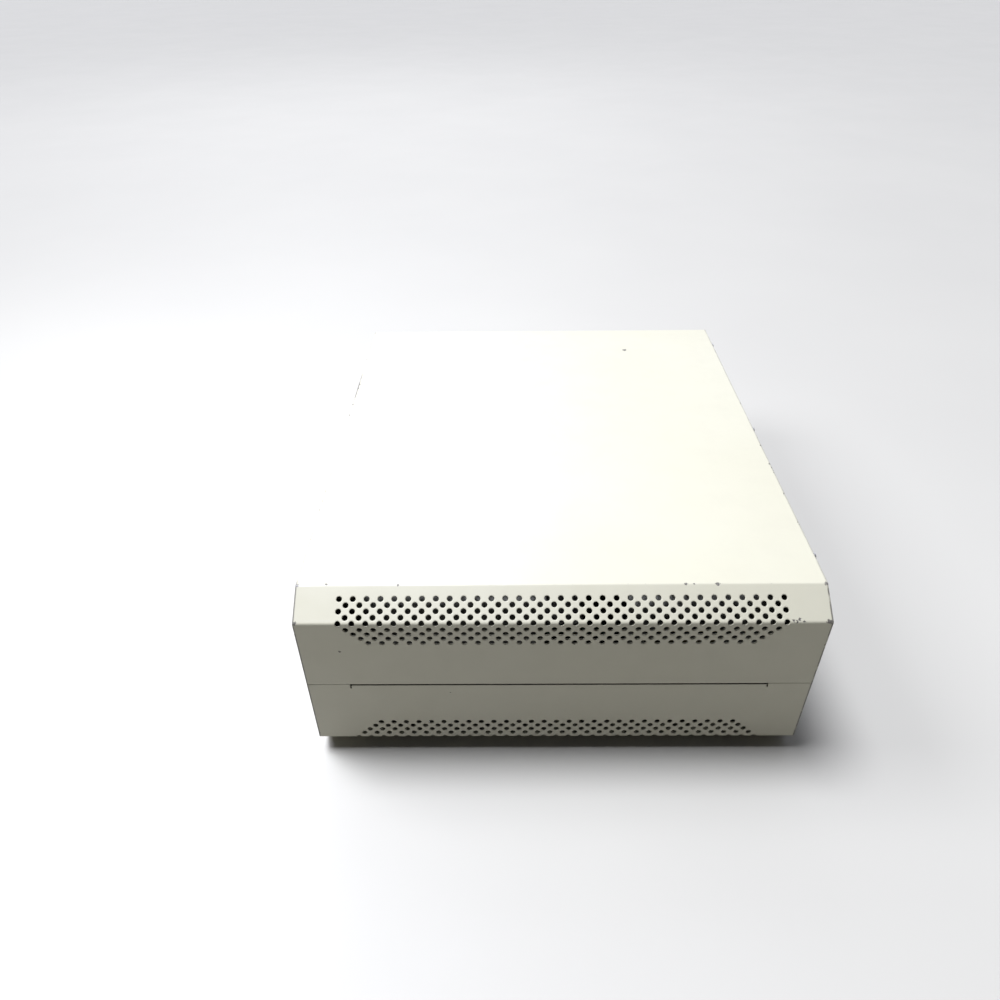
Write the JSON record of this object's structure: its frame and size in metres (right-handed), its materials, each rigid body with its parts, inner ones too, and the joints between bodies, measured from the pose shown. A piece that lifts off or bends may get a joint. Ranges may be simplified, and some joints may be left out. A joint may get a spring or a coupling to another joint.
{
  "type": "desktop computer tower",
  "caption": "Steel desktop computer tower lying on its side, with two vented wrap-round covers, drives, board, supply, fans, buttons and a sliding disc tray.",
  "frame": {"origin": "middle of the outer face of the side panel that the tower lies on", "axes": "+X towards the rear (sockets), -X towards the front (drives and buttons), -Y towards the vented top in upright use, +Y towards the feet, +Z towards the opening side panel"},
  "size_m": [0.3872, 0.482, 0.162],
  "materials": {
    "cover_paint": "satin warm white enamel with fine orange peel",
    "foot_rubber": "matt",
    "screw_steel": "zinc plated",
    "frame_zinc": "galvanised sheet",
    "bezel_plastic": "fine spark-eroded texture",
    "lens": "clear tinted",
    "black_plastic": "moulded",
    "rotor_plastic": "moulded, slightly glossy",
    "drive_metal": "satin",
    "board_green": "solder mask, satin",
    "brass_standoff": "turned",
    "socket_plastic": "moulded",
    "chip_black": "moulded",
    "capacitor_sleeve": "shrink sleeve",
    "connector_blue": "moulded",
    "supply_board": "bare laminate",
    "ribbon_grey": "ribbed flat cable",
    "wire_sleeve": "bundled insulated wires"
  },
  "bodies": {
    "case": {"lower_cover": "cover_paint", "lower_cover_feet": "foot_rubber", "lower_cover_screws": "screw_steel", "rear_panel": "frame_zinc", "front_panel": "frame_zinc", "side_rails": "frame_zinc", "board_tray": "frame_zinc", "drive_bay_cage": "frame_zinc", "disk_cage": "frame_zinc", "front_bezel": "bezel_plastic", "bay_cover": "bezel_plastic", "front_lights": "lens", "switch_block": "black_plastic", "optical_case": "drive_metal", "optical_face": "bezel_plastic", "floppy_case": "drive_metal", "floppy_face": "bezel_plastic", "hard_drive": "drive_metal", "hard_drive_board": "board_green", "motherboard": "board_green", "board_standoffs": "brass_standoff", "inner_screws": "screw_steel", "processor_socket": "socket_plastic", "processor": "chip_black", "heatsink": "drive_metal", "cpu_fan_frame": "black_plastic", "memory_sockets": "black_plastic", "memory_modules": "board_green", "card_sockets": "socket_plastic", "video_card": "board_green", "card_brackets": "drive_metal", "board_connectors": "connector_blue", "board_chips": "chip_black", "capacitors": "capacitor_sleeve", "io_ports": "drive_metal", "io_shield": "drive_metal", "supply_case": "frame_zinc", "supply_cover": "frame_zinc", "supply_board": "supply_board", "supply_fan_frame": "black_plastic", "supply_inlet": "black_plastic", "switch_housing": "black_plastic", "supply_screws": "screw_steel", "case_fan_frame": "black_plastic", "ribbon_cables": "ribbon_grey", "power_cables": "wire_sleeve", "control_cable": "wire_sleeve"},
    "upper_cover": {"upper_cover": "cover_paint", "upper_cover_feet": "foot_rubber", "upper_cover_screws": "screw_steel"},
    "power_button": {"power_button": "bezel_plastic"},
    "reset_button": {"reset_button": "bezel_plastic"},
    "disc_tray": {"optical_tray": "black_plastic", "tray_front": "bezel_plastic"},
    "optical_eject_button": {"optical_eject_button": "bezel_plastic"},
    "floppy_eject_button": {"floppy_eject_button": "bezel_plastic"},
    "processor_fan": {"cpu_fan_rotor": "rotor_plastic"},
    "case_fan": {"case_fan_rotor": "rotor_plastic"},
    "supply_fan": {"supply_fan_rotor": "rotor_plastic"},
    "supply_switch": {"supply_switch": "rotor_plastic"}
  },
  "joints": [
    {"name": "cover_slide", "type": "slide", "parent": "case", "child": "upper_cover", "axis": [1, 0, 0], "range_m": [0, 0.39]},
    {"name": "power_press", "type": "slide", "parent": "case", "child": "power_button", "axis": [1, 0, 0], "range_m": [0, 0.0025], "stiffness_N_per_m": 400, "springref_m": -0.002},
    {"name": "reset_press", "type": "slide", "parent": "case", "child": "reset_button", "axis": [1, 0, 0], "range_m": [0, 0.0025], "stiffness_N_per_m": 300, "springref_m": -0.002},
    {"name": "tray_slide", "type": "slide", "parent": "case", "child": "disc_tray", "axis": [-1, 0, 0], "range_m": [0, 0.13]},
    {"name": "optical_eject_press", "type": "slide", "parent": "case", "child": "optical_eject_button", "axis": [1, 0, 0], "range_m": [0, 0.0012], "stiffness_N_per_m": 400, "springref_m": -0.002},
    {"name": "floppy_eject_press", "type": "slide", "parent": "case", "child": "floppy_eject_button", "axis": [1, 0, 0], "range_m": [0, 0.0012], "stiffness_N_per_m": 400, "springref_m": -0.002},
    {"name": "processor_fan_spin", "type": "hinge", "parent": "case", "child": "processor_fan", "pos_m": [0.1, -0.06, 0.0498], "axis": [0, 0, 1], "continuous": true},
    {"name": "case_fan_spin", "type": "hinge", "parent": "case", "child": "case_fan", "pos_m": [0.1778, -0.078, 0.108], "axis": [1, 0, 0], "continuous": true},
    {"name": "supply_fan_spin", "type": "hinge", "parent": "case", "child": "supply_fan", "pos_m": [0.1768, -0.174, 0.054], "axis": [1, 0, 0], "continuous": true},
    {"name": "supply_switch_rock", "type": "hinge", "parent": "case", "child": "supply_switch", "pos_m": [0.1865, -0.192, 0.124], "axis": [0, 1, 0], "range_deg": [0, 20]}
  ]
}
